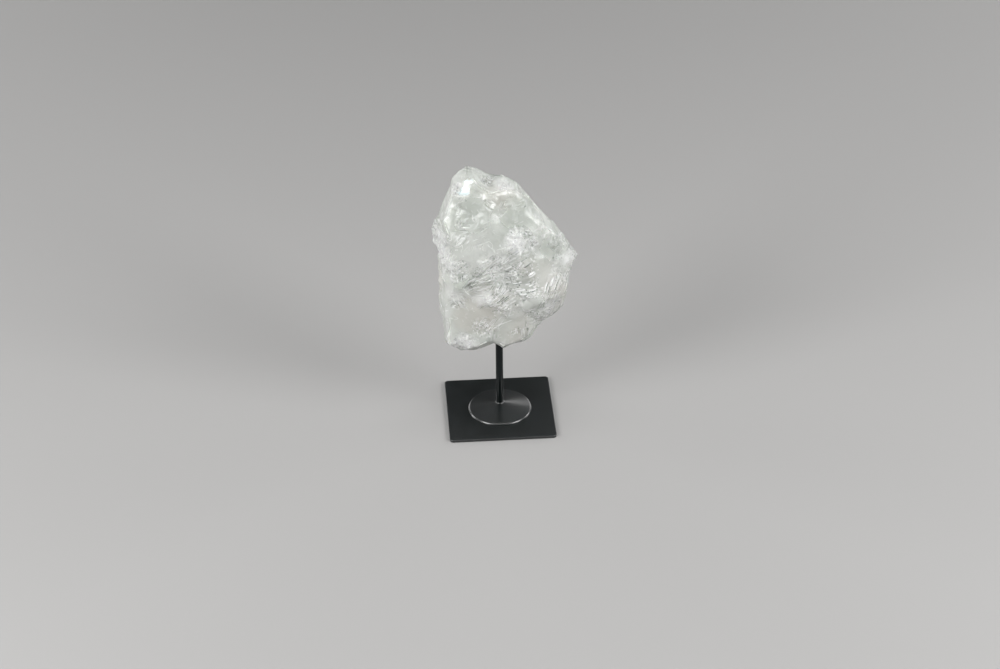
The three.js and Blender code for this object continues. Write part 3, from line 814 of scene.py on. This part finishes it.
        chosen = add(made, "ShaderNodeMath", (this, 0.01), operation="GREATER_THAN")
        fan = add(made, "ShaderNodeMix", {0: chosen, 4: fan, 5: here},
                  data_type="VECTOR").outputs[1]
        in_fan = add(made, "ShaderNodeMath", (in_fan, this), operation="MAXIMUM")
    groups = add(made, "ShaderNodeTexNoise", {
        "Vector": at, "Scale": 1 / FAN_GROUP_SIZE, "Detail": 3.0})
    groups = add(made, "ShaderNodeMapRange", (groups, 0.42, 0.52, 0.1, 1.0), **SOFT)
    in_fan = add(made, "ShaderNodeMath", (in_fan, groups), operation="MULTIPLY")
    bend = add(made, "ShaderNodeTexNoise", {
        "Vector": at, "Scale": 1 / FAN_BEND_SIZE, "Detail": 1.0}).outputs["Color"]
    fan = add(made, "ShaderNodeVectorMath", (bend, FAN_BEND, fan),
              operation="MULTIPLY_ADD")
    splinter = add(made, "ShaderNodeTexVoronoi", {"Vector": fan, "Scale": 1.0})
    chance = add(made, "ShaderNodeSeparateXYZ", (splinter.outputs["Color"],)).outputs
    aslant = add(made, "ShaderNodeVectorMath", (fan, splinter.outputs["Position"]),
                 operation="SUBTRACT")
    aslant = add(made, "ShaderNodeSeparateXYZ", (aslant,)).outputs["X"]
    lean = add(made, "ShaderNodeMath", (chance["X"], 0.5), operation="SUBTRACT")
    for factor in (aslant, given["Feather Width"], given["Feather Tilt"]):
        lean = add(made, "ShaderNodeMath", (lean, factor), operation="MULTIPLY")
    drop = add(made, "ShaderNodeMath", (chance["Y"], 1.0), operation="SUBTRACT")
    groove = add(made, "ShaderNodeMath", (drop, given["Feather Depth"], lean),
                 operation="MULTIPLY_ADD")
    groove = add(made, "ShaderNodeMath", (groove, in_fan), operation="MULTIPLY")
    unfeathered = add(made, "ShaderNodeMapRange", (in_fan, 0.0, 0.8, 1.0, 0.6), **SOFT)
    rise = add(made, "ShaderNodeMath", (rise, unfeathered, groove),
               operation="MULTIPLY_ADD")

    # Nothing is raised past the block's outermost points.
    below = add(made, "ShaderNodeVectorMath", (start, given["Lowest Corner"]),
                operation="SUBTRACT")
    beyond = add(made, "ShaderNodeVectorMath", (given["Highest Corner"], start),
                 operation="SUBTRACT")
    room = add(made, "ShaderNodeVectorMath", (below, beyond), operation="MINIMUM")
    for side in add(made, "ShaderNodeSeparateXYZ", (room,)).outputs:
        side = add(made, "ShaderNodeMath", (side, ROOM_USED), operation="MULTIPLY")
        rise = add(made, "ShaderNodeMath", (rise, side), operation="MINIMUM")
    raised = add(made, "ShaderNodeVectorMath", {0: out, "Scale": rise}, operation="SCALE")
    there = add(made, "ShaderNodeVectorMath", (start, raised), operation="ADD")

    # The crown falls off towards the front, and the clean face is a plane cut across it.
    spot = add(made, "ShaderNodeSeparateXYZ", (there,)).outputs
    ahead = add(made, "ShaderNodeMath", (CROWN_BACK, spot["Y"]), operation="SUBTRACT")
    ahead = add(made, "ShaderNodeMath", (ahead, 0.0), operation="MAXIMUM")
    fall = add(made, "ShaderNodeMapRange", (
        spot["Z"], *CROWN_HEIGHTS, 0.0, -CROWN_FALL), **SOFT)
    sunk = add(made, "ShaderNodeMath", (ahead, fall), operation="MULTIPLY")
    there = add(made, "ShaderNodeVectorMath", (
        there, add(made, "ShaderNodeCombineXYZ", {"Z": sunk})), operation="ADD")
    proud = add(made, "ShaderNodeVectorMath", (
        there, tuple(c * MM for c in WINDOW_MIDDLE)), operation="SUBTRACT")
    proud = add(made, "ShaderNodeVectorMath", (proud, tuple(WINDOW_FACING)),
                operation="DOT_PRODUCT").outputs["Value"]
    proud = add(made, "ShaderNodeMath", (proud, 0.0), operation="MAXIMUM")
    proud = add(made, "ShaderNodeMath", (proud, places["window"]), operation="MULTIPLY")
    places["window"] = add(made, "ShaderNodeMapRange", (proud, *WINDOW_PARED), **SOFT)
    pared = add(made, "ShaderNodeVectorMath", {
        0: tuple(-WINDOW_FACING), "Scale": proud}, operation="SCALE")
    there = add(made, "ShaderNodeVectorMath", (there, pared), operation="ADD")
    there = add(made, "ShaderNodeVectorMath", (there, given["Lowest Corner"]),
                operation="MAXIMUM")
    there = add(made, "ShaderNodeVectorMath", (there, given["Highest Corner"]),
                operation="MINIMUM")

    # The skin keeps where each of these lies, for the material.
    skin = given["Geometry"]
    for name, kind, value in (("fan", "FLOAT_VECTOR", fan), ("feathered", "FLOAT", in_fan),
                              ("ridge", "FLOAT", ridge),
                              *((name, "FLOAT", value) for name, value in places.items())):
        skin = add(made, "GeometryNodeStoreNamedAttribute", {
            "Geometry": skin, "Name": name, "Value": value},
            data_type=kind, domain="POINT")
    skin = add(made, "GeometryNodeSetPosition", {"Geometry": skin, "Position": there})
    skin = add(made, "GeometryNodeRealizeInstances", {"Geometry": skin})
    skin = add(made, "GeometryNodeSetMaterial", {
        "Geometry": skin, "Material": given["Finish"]})
    add(made, "NodeGroupOutput", {"Geometry": skin})
    return made, sizes, finish.identifier


blank = bpy.data.objects.new("stone_blank", remeshed(
    merged_copy("quartz", "quartz_skin"), SKIN_GRID))
bpy.context.scene.collection.objects.link(blank)
relief_tree, relief_sizes, relief_finish = broken_face_tree()
relief_step = blank.modifiers.new("broken_face", "NODES")
relief_step.node_group = relief_tree
for name, identifier in relief_sizes.items():
    relief_step[identifier] = STONE_RELIEF[name]
relief_step[relief_finish] = rock_crystal
depsgraph = bpy.context.evaluated_depsgraph_get()
stone_mesh = bpy.data.meshes.new_from_object(blank.evaluated_get(depsgraph))
bpy.data.objects.remove(blank)
stone = piece_from("quartz_block", stone_mesh, rock_crystal, smooth=STONE_SMOOTH)
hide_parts("quartz")
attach(stone, "root")


# --- Floor, light and camera -----------------------------------------------------
# A plain pale paper floor under soft boxes: two strong ones in front, one above, weaker
# ones at the sides and behind, and a wide reflector high behind. The camera looks down on
# the piece. None of it is part of the object.
FLOOR_HALF = 6.0
FLOOR_PALE = "#929190"
FLOOR_CLOUD = 1 / 3
ROOM_PALE = "#c9ccce"
ROOM_BRIGHT_TO = (0.0, -0.55, 0.84)
ROOM_STRENGTH = (0.02, 0.28)
LIT_POINT = Vector((0, 0, 120 * MM))

floor_paper, tree = new_material("pale_matt_paper")
grain = add(tree, "ShaderNodeTexNoise", {
    "Vector": add(tree, "ShaderNodeTexCoord").outputs["Object"],
    "Scale": 1 / FLOOR_CLOUD, "Detail": 3.0})
floor_tone = add(tree, "ShaderNodeMapRange", (grain, 0.0, 1.0, 0.86, 0.9))
paper = add(tree, "ShaderNodeBsdfPrincipled", {
    "Base Color": linear(FLOOR_PALE), "Roughness": floor_tone})
add(tree, "ShaderNodeOutputMaterial", {"Surface": paper})

floor_mesh = bpy.data.meshes.new("floor_sheet")
floor_mesh.from_pydata(
    [(-FLOOR_HALF, -FLOOR_HALF, 0), (FLOOR_HALF, -FLOOR_HALF, 0),
     (FLOOR_HALF, FLOOR_HALF, 0), (-FLOOR_HALF, FLOOR_HALF, 0)],
    [], [(0, 1, 2, 3)])
floor = piece_from("floor", floor_mesh, floor_paper, smooth=0)

# Each light: how far round and how high it stands in degrees, how far off and how wide
# and deep it is in m, and its watts.
for name, azimuth, elevation, distance, size, power in (
        ("soft_box_left", -54, 26, 1.9, (0.9, 0.9), 39),
        ("soft_box_right", 56, 26, 1.9, (0.9, 0.9), 37),
        ("soft_box_above", 0, 84, 1.7, (1.0, 1.0), 12),
        ("rim_light_left", -108, 13, 1.9, (0.7, 0.7), 11),
        ("rim_light_right", 106, 12, 1.9, (0.7, 0.7), 11),
        ("fill_behind_left", -148, 14, 1.9, (0.9, 0.9), 5),
        ("fill_behind_right", 148, 14, 1.9, (0.9, 0.9), 5),
        ("reflector_behind", 180, 52, 1.8, (2.6, 0.8), 1.4)):
    a, e = math.radians(azimuth), math.radians(elevation)
    back = Vector((math.sin(a) * math.cos(e), -math.cos(a) * math.cos(e), math.sin(e)))
    lamp = bpy.data.lights.new(name, "AREA")
    lamp.shape = "RECTANGLE"
    lamp.size, lamp.size_y = size
    lamp.energy = power
    light = bpy.data.objects.new(name, lamp)
    light.location = LIT_POINT + back * distance
    light.rotation_euler = (-back).to_track_quat("-Z", "Y").to_euler()
    bpy.context.scene.collection.objects.link(light)

# The room is dim behind the piece and lighter above it and in front of it, which keeps
# the stone's edges clear of the background.
room = bpy.data.worlds.new("dim_studio")
room.use_nodes = True
tree = room.node_tree
tree.nodes.clear()
way = add(tree, "ShaderNodeTexCoord").outputs["Generated"]
ahead = add(tree, "ShaderNodeVectorMath", (way, ROOM_BRIGHT_TO),
            operation="DOT_PRODUCT").outputs["Value"]
glow = add(tree, "ShaderNodeMapRange", (ahead, 0.0, 0.8, *ROOM_STRENGTH), **SOFT)
sky = add(tree, "ShaderNodeBackground", {"Color": linear(ROOM_PALE), "Strength": glow})
add(tree, "ShaderNodeOutputWorld", {"Surface": sky})
bpy.context.scene.world = room

CAMERA_PLACE = (-131.99 * MM, -2069.64 * MM, 1437.93 * MM)
CAMERA_YAW = -3.672
CAMERA_PITCH = 33.085
CAMERA_ROLL = -0.573
LENS = 94.37
SENSOR_WIDTH = 36
NEAR_CLIP = 0.05
FAR_CLIP = 50

optics = bpy.data.cameras.new("camera")
optics.lens = LENS
optics.sensor_width = SENSOR_WIDTH
optics.clip_start = NEAR_CLIP
optics.clip_end = FAR_CLIP
camera = bpy.data.objects.new("camera", optics)
camera.matrix_world = (
    Matrix.Translation(CAMERA_PLACE)
    @ Matrix.Rotation(math.radians(CAMERA_YAW), 4, "Z")
    @ Matrix.Rotation(math.radians(90 - CAMERA_PITCH), 4, "X")
    @ Matrix.Rotation(math.radians(CAMERA_ROLL), 4, "Z")
)
bpy.context.scene.collection.objects.link(camera)
bpy.context.scene.camera = camera
bpy.context.scene.view_settings.view_transform = "Standard"
